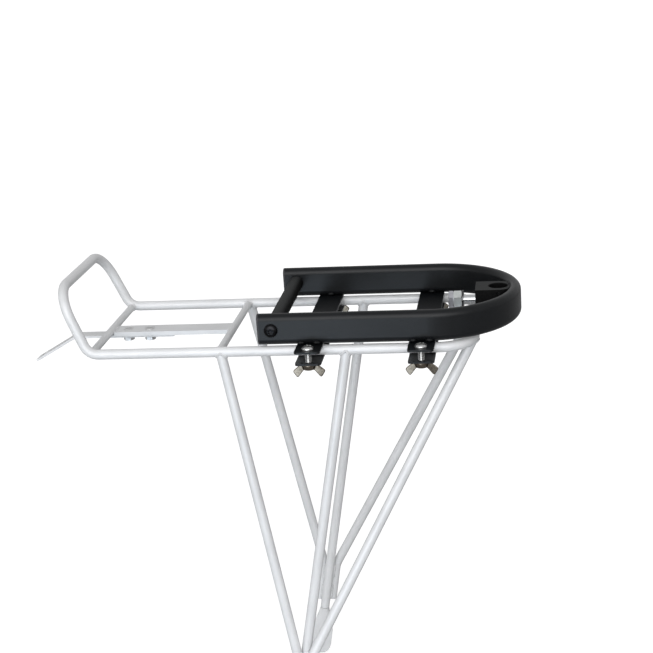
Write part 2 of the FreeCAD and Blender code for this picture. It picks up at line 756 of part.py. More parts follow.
def clamp_strip(label, x, top, half_length):
    body = new_body(label)
    plan = new_sketch(body, body.Name + "_plan", "XY_Plane")
    rounded_rectangle(plan, S.strip_width, half_length * 2, S.strip_corner)
    for _side, sign in SIDES:
        circle(plan, S.strip_hole, 0, S.clamp_screw_y * sign)
    pad(body, plan, S.strip_thickness, backwards=True)
    place(body, x, 0, top)


def coupling_block():
    """Block welded inside the bend, with the upright coupling bore."""
    body = new_body("coupling_block")
    half = S.block_width / 2
    front, rear = S.block_front_x - S.bore_x, S.block_rear_x - S.bore_x
    plan = new_sketch(body, "block_plan", "XY_Plane")
    block_outline(plan, front, rear, half, S.block_corner)
    circle(plan, S.bore_diameter)
    pad(body, plan, S.block_height)
    top = S.block_height.value
    radius = S.bore_diameter.value / 2

    def on_bore_mouth(edge):
        curve = edge.Curve
        level = edge.Vertexes[0].Z
        at_end = abs(level - top) < 1e-4 or abs(level) < 1e-4
        return at_end and hasattr(curve, "Radius") and abs(curve.Radius - radius) < 1e-4

    round_edges(body, "Chamfer", S.bore_chamfer, on_bore_mouth)
    lock = new_sketch(body, "block_lock", "YZ_Plane", (0, S.lock_height, front))
    circle(lock, S.m8_diameter + S.thread_slack * 2)
    pocket(body, lock, -front, backwards=True)
    grub = new_sketch(body, "block_grub", "XZ_Plane", (0, S.block_height - S.grub_drop, half))
    circle(grub, S.grub_diameter + S.thread_slack * 2)
    pocket(body, grub, half)
    place(body, S.bore_x, 0, UPPER_STRIP_TOP)


def lock_hardware():
    """Stud with two nuts run against each other, and a loose washer behind them."""
    along_x = Rotation(Vector(0, 1, 0), 90)
    tip_x = S.bore_x - S.bore_diameter / 2 - S.lock_tip_recess
    stud = new_body("lock_screw")
    plan = new_sketch(stud, "stud_plan", "XY_Plane")
    circle(plan, S.m8_diameter)
    pad(stud, plan, S.lock_screw_length)

    def at_end(edge):
        return len(edge.Vertexes) == 1

    round_edges(stud, "Chamfer", S.m8_diameter * 0.1, at_end)
    place(stud, tip_x - S.lock_screw_length, 0, LOCK_AXIS, along_x)
    bore = S.m8_diameter + S.thread_slack * 2
    nut = hex_nut("lock_screw_nut", S.m8_nut_flats, S.m8_nut_height, bore)
    place(nut, S.lock_nut_x, 0, LOCK_AXIS, along_x)
    jam_nut = hex_nut("lock_screw_jam_nut", S.m8_nut_flats, S.m8_jam_nut_height, bore)
    place(jam_nut, S.lock_nut_x - S.m8_jam_nut_height, 0, LOCK_AXIS, along_x)
    ring = washer("lock_washer", S.lock_washer_diameter, bore + S.thread_slack * 2,
                  S.lock_washer_thickness)
    place(ring, S.lock_nut_x + S.m8_nut_height, 0, LOCK_AXIS, along_x)


def grub_screw():
    body = new_body("grub_screw")
    plan = new_sketch(body, "grub_plan", "XY_Plane")
    circle(plan, S.grub_diameter)
    pad(body, plan, S.grub_length, backwards=True)
    socket = new_sketch(body, "grub_socket", "XY_Plane")
    hexagon(socket, S.grub_diameter / 2)
    pocket(body, socket, S.grub_length / 2)
    outward = Rotation(Vector(1, 0, 0), 90)
    place(body, S.bore_x, -(S.block_width / 2), BLOCK_TOP - S.grub_drop, outward)


# ---------------------------------------------------------------- assembly

loop = platform_loop()
crossbar("hoop_crossbar", S.hoop_crossbar_x)
crossbar("middle_crossbar", S.middle_crossbar_x)
strut("front", S.front_strut_x.value, -1, loop)
strut("middle", S.middle_strut_x.value, 0, loop)
strut("rear", S.rear_strut_x.value, 1, loop)
for side_name, side_sign in SIDES:
    foot(side_name, side_sign)
    end_cap(side_name, side_sign)

central_bar()
front_strap()
for spot_name, bolt_x in (("front", S.front_bolt_x), ("rear", S.rear_bolt_x)):
    bolt = hex_bolt("strap_bolt_" + spot_name, S.m5_diameter, S.strap_bolt_length,
                    S.m5_head_flats, S.m5_head_height)
    place(bolt, bolt_x, 0, STRAP_TOP - S.strap_thickness, UPSIDE_DOWN)
    place(clinch_nut("strap_nut_" + spot_name), bolt_x, 0, S.rail_height)

coupling_frame()
spacer_bar()
for side_name, side_sign in SIDES:
    spacer_screw = button_screw("spacer_screw_" + side_name, S.m6_diameter, S.spacer_screw_length,
                                S.m6_button_diameter, S.m6_button_height, S.m6_hex_key)
    outer_y = (S.leg_half_spacing + S.tube_thickness / 2) * side_sign
    place(spacer_screw, S.spacer_x, outer_y, TUBE_MIDDLE, Rotation(Vector(1, 0, 0), -90 * side_sign))

for spot_name, clamp_x in (("front", S.front_clamp_x), ("rear", S.rear_clamp_x)):
    clamp_strip("upper_strip_" + spot_name, clamp_x, UPPER_STRIP_TOP, S.upper_strip_half_length)
    clamp_strip("lower_strip_" + spot_name, clamp_x, LOWER_STRIP_TOP, S.lower_strip_half_length)
    for side_name, side_sign in SIDES:
        clamp_y = S.clamp_screw_y * side_sign
        clamp = clamp_screw("clamp_screw_%s_%s" % (spot_name, side_name))
        place(clamp, clamp_x, clamp_y, UPPER_STRIP_TOP)
        wing = wing_nut("wing_nut_%s_%s" % (spot_name, side_name))
        place(wing, clamp_x, clamp_y, LOWER_STRIP_UNDERSIDE, UPSIDE_DOWN)

coupling_block()
lock_hardware()
grub_screw()
doc.recompute()


# ---------------------------------------------------------------- checks and export

def is_sub_part(thing):
    in_body = thing.getParentGeoFeatureGroup() is not None
    makes_solid = thing.isDerivedFrom("PartDesign::Body") or thing.isDerivedFrom("Part::Feature")
    return makes_solid and not in_body


broken = [thing.Label for thing in doc.Objects if {"Invalid", "Error"} & set(thing.State)]
if broken:
    raise RuntimeError("failed objects: " + ", ".join(broken))

sub_parts = [thing for thing in doc.Objects if is_sub_part(thing)]
for thing in sub_parts:
    shape = thing.Shape
    if shape.isNull() or not shape.isValid() or not shape.Solids:
        raise RuntimeError(thing.Label + ": not a valid solid")

os.makedirs("parts", exist_ok=True)
for thing in sub_parts:
    thing.Shape.exportStep(os.path.join("parts", thing.Label + ".step"))
    print("%-28s solids %d  volume %10.1f" % (thing.Label, len(thing.Shape.Solids), thing.Shape.Volume))
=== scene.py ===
"""Looks for the bicycle rear rack with its clamped-on coupling frame."""

import json
import math

import bmesh
import bpy
from mathutils import Matrix, Vector


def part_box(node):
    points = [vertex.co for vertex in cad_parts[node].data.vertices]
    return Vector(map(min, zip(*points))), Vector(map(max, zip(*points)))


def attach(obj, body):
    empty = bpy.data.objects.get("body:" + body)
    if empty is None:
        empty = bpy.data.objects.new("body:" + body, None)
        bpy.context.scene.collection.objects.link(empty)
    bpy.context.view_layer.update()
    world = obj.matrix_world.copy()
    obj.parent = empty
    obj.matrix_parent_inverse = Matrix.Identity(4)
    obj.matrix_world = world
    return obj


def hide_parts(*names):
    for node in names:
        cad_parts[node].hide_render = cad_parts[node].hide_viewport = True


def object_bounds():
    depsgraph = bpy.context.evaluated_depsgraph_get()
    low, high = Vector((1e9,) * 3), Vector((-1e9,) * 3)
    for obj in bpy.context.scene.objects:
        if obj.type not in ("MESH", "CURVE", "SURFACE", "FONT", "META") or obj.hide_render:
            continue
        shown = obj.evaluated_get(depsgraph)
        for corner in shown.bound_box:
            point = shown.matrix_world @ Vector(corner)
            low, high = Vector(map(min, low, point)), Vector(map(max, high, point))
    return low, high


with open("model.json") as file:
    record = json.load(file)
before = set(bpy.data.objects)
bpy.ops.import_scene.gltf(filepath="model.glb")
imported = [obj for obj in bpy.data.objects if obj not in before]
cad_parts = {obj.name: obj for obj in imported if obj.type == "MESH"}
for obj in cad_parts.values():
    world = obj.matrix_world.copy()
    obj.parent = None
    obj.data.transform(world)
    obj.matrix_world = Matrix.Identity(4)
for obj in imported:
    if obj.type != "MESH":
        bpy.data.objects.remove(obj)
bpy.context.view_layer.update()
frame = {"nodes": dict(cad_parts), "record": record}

MM = 0.001
RIGHT, LEFT = 1, -1
SIDES = (("left", LEFT), ("right", RIGHT))
ENDS = ("front", "rear")

# Carrier rods and the bends of the two loops
RAIL_RADIUS = 4.0 * MM
REAR_BEND = 27.0 * MM            # centre line of the carrier's rear corners
FRAME_BEND = 70.0 * MM           # outside of the coupling frame's bend
FRAME_INNER_WALL = 60.15 * MM    # inside of the same bend, just proud of the wall
BLOCK_BEAD_RADIUS = 60.9 * MM
BORE_SHADE_EDGE = (7.5e-3, 8.0e-3)     # painted shade inside the bore fades out between these radii

# Screws
M5_PITCH, M5_RADIUS = 0.8 * MM, 2.46 * MM
M6_PITCH, M6_RADIUS = 1.0 * MM, 2.96 * MM
M8_PITCH = 1.25 * MM
THREAD_STEPS = 6                 # rings per turn
THREAD_DEPTH = 0.42              # share of the pitch
HEAD_SEGMENTS = 96

# Weld beads
RIPPLE = 0.8 * MM
RINGS_PER_RIPPLE = 5
BEAD_SEGMENTS = 12
STRUT_BEAD, CROSSBAR_BEAD, BAR_BEAD = 1.05 * MM, 0.85 * MM, 0.9 * MM
BUNDLE_BEAD, BUNDLE_RIPPLE, BUNDLE_SPREAD = 1.5 * MM, 1.1 * MM, 1.9 * MM
BUNDLE_RUNS = ((46, 60), (66, 80))         # heights in millimetres
TACK_BEAD, TACK_RIPPLE, TACK_HALF_RUN = 1.6 * MM, 1.3 * MM, 2.6 * MM
BLOCK_BEAD, BLOCK_SIDE_BEAD = 0.8 * MM, 1.2 * MM
SMOOTH_ALL = 180.0               # edge angle that leaves no sharp edges

# Wing nuts
NUT_SEGMENTS = 72
NUT_VOXEL = 0.2 * MM

# Studio
FLOOR_HALF_SIZE, FLOOR_GAP, FLOOR_GLOW = 12.0, 0.001, 0.80
DIM, BRIGHT = 0.56, 3.3          # radiance of the surround
BACKDROP = 1.15                  # radiance the camera sees behind the floor
SOURCE_DIRECTION, SOURCE_EDGE = (-0.05, -0.96, 0.26), 0.66
CARD_SIZE, CARD_POWER, CARD_COLOUR = (0.42, 0.22), 1.35, (0.74, 0.87, 1.0)
CARD_PLACE, CARD_TARGET = (-0.16, -0.90, 0.09), (0.0, -0.07, 0.35)
LENS, SENSOR_WIDTH = 79.369, 36.0
CAMERA_PLACE = (0.20388, -1.09797, 0.68209)
CAMERA_AZIMUTH, CAMERA_ELEVATION, CAMERA_ROLL = 8.616, 17.457, -3.977


# ---------------------------------------------------------------- node helpers

class Graph:
    """Thin wrapper that keeps the node code of a material short."""

    def __init__(self, name):
        self.material = bpy.data.materials.new(name)
        self.material.use_nodes = True
        self.nodes = self.material.node_tree.nodes
        self.links = self.material.node_tree.links
        self.shader = self.nodes["Principled BSDF"]
        self.position = self.add("ShaderNodeTexCoord").outputs["Object"]

    def add(self, kind, **settings):
        node = self.nodes.new(kind)
        for key, value in settings.items():
            setattr(node, key, value)
        return node

    def feed(self, socket, value):
        if isinstance(value, bpy.types.NodeSocket):
            self.links.new(value, socket)
        else:
            socket.default_value = value

    def noise(self, scale, detail=3.0, roughness=0.55, stretch=None):
        node = self.add("ShaderNodeTexNoise")
        node.inputs["Scale"].default_value = scale
        node.inputs["Detail"].default_value = detail
        node.inputs["Roughness"].default_value = roughness
        self.feed(node.inputs["Vector"], self.stretched(stretch) if stretch else self.position)
        return node.outputs["Fac"]

    def cells(self, scale):
        node = self.add("ShaderNodeTexVoronoi")
        node.inputs["Scale"].default_value = scale
        self.feed(node.inputs["Vector"], self.position)
        return node.outputs["Distance"]

    def stretched(self, factors):
        node = self.add("ShaderNodeMapping")
        node.inputs["Scale"].default_value = factors
        self.feed(node.inputs["Vector"], self.position)
        return node.outputs["Vector"]

    def span(self, value, low, high, low_in=0.3, high_in=0.7):
        node = self.add("ShaderNodeMapRange")
        for name, number in (("From Min", low_in), ("From Max", high_in),
                             ("To Min", low), ("To Max", high)):
            node.inputs[name].default_value = number
        self.feed(node.inputs["Value"], value)
        return node.outputs["Result"]

    def mix(self, amount, first, second):
        node = self.add("ShaderNodeMix", data_type="RGBA")
        self.feed(node.inputs["Factor"], amount)
        for socket, colour in ((node.inputs[6], first), (node.inputs[7], second)):
            if not isinstance(colour, bpy.types.NodeSocket) and len(colour) == 3:
                colour = (*colour, 1.0)
            self.feed(socket, colour)
        return node.outputs[2]

    def maths(self, operation, first, second):
        node = self.add("ShaderNodeMath", operation=operation)
        self.feed(node.inputs[0], first)
        self.feed(node.inputs[1], second)
        return node.outputs[0]

    def edges(self):
        """1 on convex edges, 0 elsewhere."""
        geometry = self.add("ShaderNodeNewGeometry")
        return self.span(geometry.outputs["Pointiness"], 0.0, 1.0, 0.53, 0.62)

    def bump(self, height, strength, distance):
        node = self.add("ShaderNodeBump")
        node.inputs["Strength"].default_value = strength
        node.inputs["Distance"].default_value = distance
        self.feed(node.inputs["Height"], height)
        return node.outputs["Normal"]

    def finish(self, colour, roughness, normal=None, **fixed):
        """Wire the shader. Values in fixed are the same all over and go on its own sockets."""
        self.feed(self.shader.inputs["Base Color"], colour)
        self.feed(self.shader.inputs["Roughness"], roughness)
        if normal is not None:
            self.feed(self.shader.inputs["Normal"], normal)
        for name, value in fixed.items():
            self.shader.inputs[name.replace("_", " ")].default_value = value
        return self.material


# ---------------------------------------------------------------- materials

def powder_coat(name, dark, light, rough, texture, gloss=0.0):
    """Textured powder coat: fine orange peel, faint clouding and slightly rubbed edges."""
    fleck = [c * 1.6 + 0.002 for c in light]
    rubbed = [min(1.0, c * 1.8 + 0.004) for c in light]
    g = Graph(name)
    clouds = g.noise(22.0, 4.0)
    grain = g.noise(1500.0, 2.0, 0.6)
    peel = g.cells(900.0)
    colour = g.mix(g.span(clouds, 0.0, 1.0), dark, light)
    colour = g.mix(g.span(grain, 0.0, 0.35, 0.45, 0.75), colour, fleck)
    colour = g.mix(g.maths("MULTIPLY", g.edges(), 0.15), colour, rubbed)
    roughness = g.span(grain, rough - 0.07, rough + 0.10)
    height = g.maths("ADD", g.maths("MULTIPLY", peel, 0.7), g.maths("MULTIPLY", grain, 0.5))
    normal = g.bump(height, texture, 0.0002)
    return g.finish(colour, roughness, normal, Specular_IOR_Level=gloss)


def carrier_coat():
    """Pale glossy coat with faint flow marks."""
    g = Graph("carrier_coat")
    clouds = g.noise(30.0, 4.0)
    flow = g.noise(260.0, 3.0, 0.6)
    specks = g.noise(2200.0, 1.0)
    colour = g.mix(g.span(clouds, 0.0, 1.0), (0.64, 0.642, 0.646), (0.72, 0.722, 0.726))
    colour = g.mix(g.span(specks, 0.0, 0.25, 0.5, 0.75), colour, (0.75, 0.75, 0.755))
    colour = g.mix(g.maths("MULTIPLY", g.edges(), 0.2), colour, (0.50, 0.505, 0.51))
    roughness = g.span(flow, 0.28, 0.42)
    height = g.maths("ADD", g.maths("MULTIPLY", flow, 0.6), g.maths("MULTIPLY", specks, 0.15))
    normal = g.bump(height, 0.10, 0.0003)
    return g.finish(colour, roughness, normal, Metallic=0.05, Coat_Weight=0.15, Coat_Roughness=0.2)


def plated(name, dark, light, rough, streak=(1, 1, 1), streak_scale=600.0, grain=0.10):
    """Plated steel: tone clouds, machining streaks, small dull specks and painted highlights on
    convex edges.
    """
    stained = [c * 0.55 for c in dark]
    painted_edge_highlight = [min(1.0, c * 1.25 + 0.10) for c in light]
    g = Graph(name)
    clouds = g.noise(140.0, 4.0)
    streaks = g.noise(streak_scale, 3.0, 0.6, stretch=streak)
    stains = g.noise(420.0, 5.0, 0.7)
    colour = g.mix(g.span(clouds, 0.0, 1.0), dark, light)
    colour = g.mix(g.span(stains, 0.0, 0.4, 0.55, 0.78), colour, stained)
    # Painted highlight: convex edges are lightened towards a bright steel tone.
    colour = g.mix(g.maths("MULTIPLY", g.edges(), 0.7), colour, painted_edge_highlight)
    roughness = g.span(streaks, rough - 0.08, rough + 0.10)
    normal = g.bump(g.maths("ADD", streaks, g.maths("MULTIPLY", stains, 0.5)), grain, 0.00012)
    return g.finish(colour, roughness, normal, Metallic=1.0)


def cap_plastic():
    """Moulded black plastic with a spark-eroded grain."""
    g = Graph("cap_plastic")
    sparks = g.cells(1300.0)
    clouds = g.noise(90.0, 3.0)
    colour = g.mix(g.span(clouds, 0.0, 1.0), (0.018, 0.018, 0.020), (0.030, 0.030, 0.033))
    colour = g.mix(g.maths("MULTIPLY", g.edges(), 0.3), colour, (0.07, 0.07, 0.075))
    return g.finish(colour, g.span(clouds, 0.5, 0.62), g.bump(sparks, 0.25, 0.0002))


def black_matt():
    """Grainy matt coat, with painted light on the upward faces and painted shade inside the
    upright coupling bore.
    """
    g = Graph("black_matt")
    grain = g.noise(1500.0, 2.0, 0.6)
    clouds = g.noise(60.0, 4.0)
    colour = g.mix(g.span(clouds, 0.0, 1.0), (0.003, 0.003, 0.003), (0.005, 0.005, 0.005))
    geometry = g.add("ShaderNodeNewGeometry")
    upward = g.add("ShaderNodeSeparateXYZ")
    g.feed(upward.inputs[0], geometry.outputs["Normal"])
    # Painted light: faces that point up are lightened, as if lit from above.
    painted_top_light = g.span(upward.outputs["Z"], 0.0, 1.0, 0.6, 0.95)
    colour = g.mix(painted_top_light, colour, (0.036, 0.037, 0.037))
    colour = g.mix(g.span(grain, 0.0, 0.3, 0.45, 0.75), colour, (0.020, 0.021, 0.021))
    low, _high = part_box("coupling_block")
    split = g.add("ShaderNodeSeparateXYZ")
    g.feed(split.inputs[0], g.position)
    bore_x = frame["record"]["mounts"][1]["pos_m"][0]
    along = g.maths("SUBTRACT", split.outputs["X"], bore_x)
    squared = g.maths("ADD", g.maths("MULTIPLY", along, along),
                      g.maths("MULTIPLY", split.outputs["Y"], split.outputs["Y"]))
    in_block = g.maths("GREATER_THAN", split.outputs["X"], low.x)
    inner, outer = BORE_SHADE_EDGE
    near_axis = g.span(squared, 1.0, 0.0, inner ** 2, outer ** 2)
    bore_shade_mask = g.maths("MULTIPLY", in_block, near_axis)
    # Painted shade: the coat inside the bore is made near-black.
    colour = g.mix(bore_shade_mask, colour, (0.003, 0.003, 0.003))
    height = g.maths("ADD", grain, g.maths("MULTIPLY", g.cells(900.0), 0.6))
    return g.finish(colour, g.span(grain, 0.55, 0.72), g.bump(height, 0.45, 0.0002),
                    Specular_IOR_Level=0.07)


def weld_metal(name, dark, light, rough, gloss=0.5):
    """A coated weld bead: the coat follows the ripples and is a little glossier."""
    g = Graph(name)
    clouds = g.noise(400.0, 4.0, 0.65)
    pits = g.noise(1600.0, 2.0)
    colour = g.mix(g.span(clouds, 0.0, 1.0), dark, light)
    normal = g.bump(g.maths("ADD", clouds, g.maths("MULTIPLY", pits, 0.3)), 0.3, 0.0004)
    return g.finish(colour, g.span(clouds, rough - 0.08, rough + 0.08), normal,
                    Specular_IOR_Level=gloss)


BLACK_DARK, BLACK_LIGHT = (0.0026, 0.0031, 0.0038), (0.0052, 0.0060, 0.0070)
MATERIALS = {
    "carrier_coat": carrier_coat(),
    "black_coat": powder_coat("black_coat", BLACK_DARK, BLACK_LIGHT, 0.34, 0.13, 0.27),
    "black_matt": black_matt(),
    "cap_plastic": cap_plastic(),
    "bright_steel": plated("bright_steel", (0.56, 0.56, 0.55), (0.74, 0.74, 0.73), 0.27),
    "dull_steel": plated("dull_steel", (0.44, 0.44, 0.44), (0.60, 0.60, 0.60), 0.40),
    "nickel_steel": plated("nickel_steel", (0.090, 0.074, 0.057), (0.23, 0.195, 0.155), 0.22,
                           streak_scale=900.0, grain=0.30),
    "polished_steel": plated("polished_steel", (0.60, 0.61, 0.62), (0.80, 0.81, 0.82), 0.16,
                             streak=(0.1, 1, 1)),
    "zinc_steel": plated("zinc_steel", (0.60, 0.65, 0.625), (0.80, 0.84, 0.82), 0.34),
    "grey_steel": plated("grey_steel", (0.42, 0.42, 0.45), (0.60, 0.60, 0.64), 0.36),
    "dark_steel": plated("dark_steel", (0.010, 0.010, 0.011), (0.026, 0.026, 0.028), 0.24),
}
CARRIER_WELD = weld_metal("carrier_weld", (0.56, 0.562, 0.566), (0.66, 0.662, 0.666), 0.36)
BLACK_WELD = weld_metal("black_weld", BLACK_DARK, BLACK_LIGHT, 0.46, 0.22)

for entry in frame["record"]["subparts"]:
    node = frame["nodes"][entry["node"]]
    node.data.materials.clear()
    node.data.materials.append(MATERIALS[entry["material_slot"]])
SLOT_OF = {entry["node"]: entry["material_slot"] for entry in frame["record"]["subparts"]}
BODY_OF = {node: body
           for body, nodes in frame["record"]["behaviour"]["bodies"].items()
           for node in nodes}


# ---------------------------------------------------------------- mesh helpers

def add_piece(name, mesh, material, body, angle=35.0):
    """Finish a bmesh as an object that rides on a body."""
    bmesh.ops.recalc_face_normals(mesh, faces=mesh.faces)
    data = bpy.data.meshes.new(name)
    mesh.to_mesh(data)
    mesh.free()
    data.materials.append(material)
    piece = bpy.data.objects.new(name, data)
    bpy.context.scene.collection.objects.link(piece)
    data.shade_smooth()
    data.set_sharp_from_angle(angle=math.radians(angle))
    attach(piece, body)
    return piece


def stand_in(node, mesh, angle=35.0):
    """A detailed piece that is shown in place of a CAD node."""
    piece = add_piece(node + "_detail", mesh, MATERIALS[SLOT_OF[node]], BODY_OF[node],
                      angle)
    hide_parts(node)
    return piece


def axes_to(origin, direction):
    """Matrix whose Z axis points along direction."""
    turn = Vector(direction).to_track_quat("Z", "Y").to_matrix().to_4x4()
    return Matrix.Translation(origin) @ turn


def join_rings(mesh, lower, upper):
    """Skin of quads between two loops of equally many vertices."""
    for step in range(len(lower)):
        after = (step + 1) % len(lower)
        mesh.faces.new((lower[step], lower[after], upper[after], upper[step]))


def lathe(mesh, profile, segments):
    """Turn (radius, height) points about Z."""
    rings = []
    for radius, height in profile:
        ring = []
        for step in range(segments):
            angle = 2 * math.pi * step / segments
            spot = (radius * math.cos(angle), radius * math.sin(angle), height)
            ring.append(mesh.verts.new(spot))
        rings.append(ring)
    for lower, upper in zip(rings, rings[1:]):
        join_rings(mesh, lower, upper)


def polar_stack(mesh, layers, segments, matrix):
    """Closed surface of stacked loops. A layer is (radius of an angle, height of a radius)."""
    rings = []
    for radius_at, height_at in layers:
        ring = []
        for step in range(segments):
            angle = 2 * math.pi * step / segments
            radius = radius_at(angle)
            spot = Vector((radius * math.cos(angle), radius * math.sin(angle), height_at(radius)))
            ring.append(mesh.verts.new(matrix @ spot))
        rings.append(ring)
    for lower, upper in zip(rings, rings[1:]):
        join_rings(mesh, lower, upper)
    mesh.faces.new(reversed(rings[0]))
    mesh.faces.new(rings[-1])


def hexagon_radius(across_flats):
    """Radius of a hexagon as a function of the angle."""
    def radius_at(angle):
        inside = (angle + math.pi / 6) % (math.pi / 3) - math.pi / 6
        return across_flats / 2 / math.cos(inside)
    return radius_at


def cross_radius(reach, half_width):
    """Radius of a cross recess as a function of the angle."""
    def radius_at(angle):
        inside = abs((angle + math.pi / 4) % (math.pi / 2) - math.pi / 4)
        return min(reach / math.cos(inside), half_width / max(math.sin(inside), 1e-6))
    return radius_at


def dome_height(rim_radius, rim, top):
    """Height of a shallow dome from its rim (radius, height) to its crown."""
    def height_at(radius):
        return rim + (top - rim) * math.sqrt(max(0.0, 1 - min(1.0, radius / rim_radius) ** 2.2))
    return height_at


def level(height):
    return lambda _radius: height


def ring_of(radius):
    return lambda _angle: radius


def screw_head(mesh, matrix, radius, rim, top, recess, recess_depth):
    """Domed head above the matrix's XY plane, with a star-shaped recess let into it."""
    dome = dome_height(radius, rim, top)
    layers = [
        (ring_of(radius * 0.55), level(0.0)),
        (ring_of(radius * 0.95), level(0.0)),
        (ring_of(radius * 0.99), level(rim * 0.12)),
        (ring_of(radius), level(rim * 0.4)),
    ]
    shares = [1.0, 0.995, 0.98, 0.95, 0.90, 0.84, 0.77, 0.70, 0.64]
    layers += [(ring_of(radius * share), dome) for share in shares]

    def eased(share, grow):
        return lambda angle: radius * 0.60 * (1 - share) + recess(angle) * grow * share

    layers += [(eased(0.5, 1.05), dome), (eased(1.0, 1.06), dome)]
    mouth = dome(recess(0.0))
    layers += [
        (recess, level(mouth - 0.06 * MM)),
        (eased(1.0, 0.97), level(mouth - recess_depth * 0.5)),
        (eased(1.0, 0.92), level(mouth - recess_depth)),
        (eased(1.0, 0.30), level(mouth - recess_depth * 1.15)),
    ]
    polar_stack(mesh, layers, HEAD_SEGMENTS, matrix)


def threaded_shank(mesh, matrix, radius, pitch, start, end, plain_to=None, segments=40):
    """Shank along Z from start to end. The thread stops at plain_to, then it is smooth."""
    depth = pitch * THREAD_DEPTH
    count = max(2, int(round((end - start) / pitch * THREAD_STEPS)))
    plain_to = end if plain_to is None else plain_to
    layers = []
    for step in range(count + 1):
        height = start + (end - start) * step / count
        from_tip = min(height - start, plain_to - height)
        fade = max(0.0, min(1.0, from_tip / pitch))
        tip_cut = max(0.0, 1 - (height - start) / (pitch * 0.9)) * depth

        def radius_at(angle, height=height, fade=fade, tip_cut=tip_cut):
            phase = (height / pitch - angle / (2 * math.pi)) % 1.0
            groove = max(0.0, 1 - abs(phase - 0.5) * 2 / 0.82)
            return radius - depth * groove * fade - tip_cut

        layers.append((radius_at, level(height)))
    polar_stack(mesh, layers, segments, matrix)


def rippled_bead(mesh, path, radius, ripple=RIPPLE, closed=False, seed=0.0):
    """Weld bead along a path: overlapping ripples of slightly uneven width."""
    if closed:
        path = path + [path[0]]
    lengths = [0.0]
    for first, second in zip(path, path[1:]):
        lengths.append(lengths[-1] + (second - first).length)
    total = lengths[-1]
    count = max(6, int(total / ripple * RINGS_PER_RIPPLE))
    count -= count % RINGS_PER_RIPPLE
    segments = BEAD_SEGMENTS
    rings = []
    place = 0
    for step in range(count + (0 if closed else 1)):
        along = total * step / count
        while place < len(path) - 2 and lengths[place + 1] < along:
            place += 1
        share = (along - lengths[place]) / max(1e-9, lengths[place + 1] - lengths[place])
        spot = path[place].lerp(path[place + 1], share)
        ahead = (path[place + 1] - path[place]).normalized()
        side = ahead.orthogonal().normalized() if not rings else side - ahead * side.dot(ahead)
        side = side.normalized()
        up = ahead.cross(side)
        run = along / MM
        wave = 0.86 + 0.16 * abs(math.sin(math.pi * along / ripple))
        wave *= 1.0 + 0.07 * math.sin(run * 0.9 + seed) + 0.05 * math.sin(run * 2.3 + seed * 2)
        to_end = min(along, total - along)
        ease = 1.0 if closed else min(1.0, math.sqrt(to_end / radius + 0.02))
        ring = []
        for turn in range(segments):
            angle = 2 * math.pi * turn / segments
            offset = side * math.cos(angle) + up * math.sin(angle)
            ring.append(mesh.verts.new(spot + offset * radius * wave * ease))
        rings.append(ring)
    for lower, upper in zip(rings, rings[1:]):
        join_rings(mesh, lower, upper)
    if closed:
        last, first = rings[-1], rings[0]
        shift = min(range(segments), key=lambda k: (last[0].co - first[k].co).length)
        join_rings(mesh, last, first[shift:] + first[:shift])
    else:
        mesh.faces.new(reversed(rings[0]))
        mesh.faces.new(rings[-1])


# ---------------------------------------------------------------- screws

def build_clamp_screws():
    for end in ENDS:
        for side, _sign in SIDES:
            node = "clamp_screw_%s_%s" % (end, side)
            low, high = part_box(node)
            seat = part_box("upper_strip_" + end)[1].z
            middle = (low + high) / 2
            mesh = bmesh.new()
            turn = Matrix.Rotation(math.radians(25 if side == "left" else 70), 4, "Z")
            matrix = Matrix.Translation((middle.x, middle.y, seat)) @ turn
            screw_head(mesh, matrix, (high.x - low.x) / 2, 0.9 * MM, high.z - seat,
                       cross_radius(2.6 * MM, 0.55 * MM), 1.6 * MM)
            threaded_shank(mesh, matrix, M5_RADIUS, M5_PITCH, low.z - seat, 0.1 * MM)
            stand_in(node, mesh)


def build_spacer_screws():
    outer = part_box("coupling_frame")
    for side, sign in SIDES:
        node = "spacer_screw_" + side
        low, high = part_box(node)
        middle = (low + high) / 2
        face = outer[1].y if sign > 0 else outer[0].y
        head_top = high.y - face if sign > 0 else face - low.y
        length = face - low.y if sign > 0 else high.y - face
        mesh = bmesh.new()
        matrix = axes_to((middle.x, face, middle.z), (0, sign, 0))
        screw_head(mesh, matrix, (high.x - low.x) / 2, 0.7 * MM, head_top,
                   hexagon_radius(4.0 * MM), 1.9 * MM)
        threaded_shank(mesh, matrix, M6_RADIUS, M6_PITCH, -length, 0.1 * MM)
        stand_in(node, mesh)


def build_lock_screw():
    """Plain shank behind the nuts, thread in the block and at the outer end."""
    low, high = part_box("lock_screw")
    middle = (low + high) / 2
    mesh = bmesh.new()
    radius = (high.z - low.z) / 2 - 0.02 * MM
    half = (low.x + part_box("lock_screw_nut")[0].x) / 2
    inner = axes_to((high.x, middle.y, middle.z), (-1, 0, 0))
    threaded_shank(mesh, inner, radius, M8_PITCH, 0.0, high.x - half,
                   plain_to=high.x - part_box("coupling_block")[0].x - 0.6 * MM, segments=64)
    outer = axes_to((low.x, middle.y, middle.z), (1, 0, 0))
    threaded_shank(mesh, outer, radius, M8_PITCH, 0.0, half - low.x, segments=64)
    stand_in("lock_screw", mesh)


build_clamp_screws()
build_spacer_screws()
build_lock_screw()


# ---------------------------------------------------------------- wing nuts

def wing_outline(sign):
    """Wing in the nut's XZ plane, in millimetres away from the seat."""
    points = [
        (2.9, 0.7), (5.4, 0.4), (7.0, 1.1), (9.4, 3.0), (11.6, 4.8), (12.2, 5.5), (12.35, 6.2),
        (11.9, 7.2), (10.6, 9.2), (9.7, 10.35), (9.1, 10.6), (8.3, 10.3), (7.0, 8.7),
        (5.3, 6.6), (4.3, 5.2), (2.9, 4.4),
    ]
    return [Vector((x * sign, 0, z)) * MM for x, z in points]


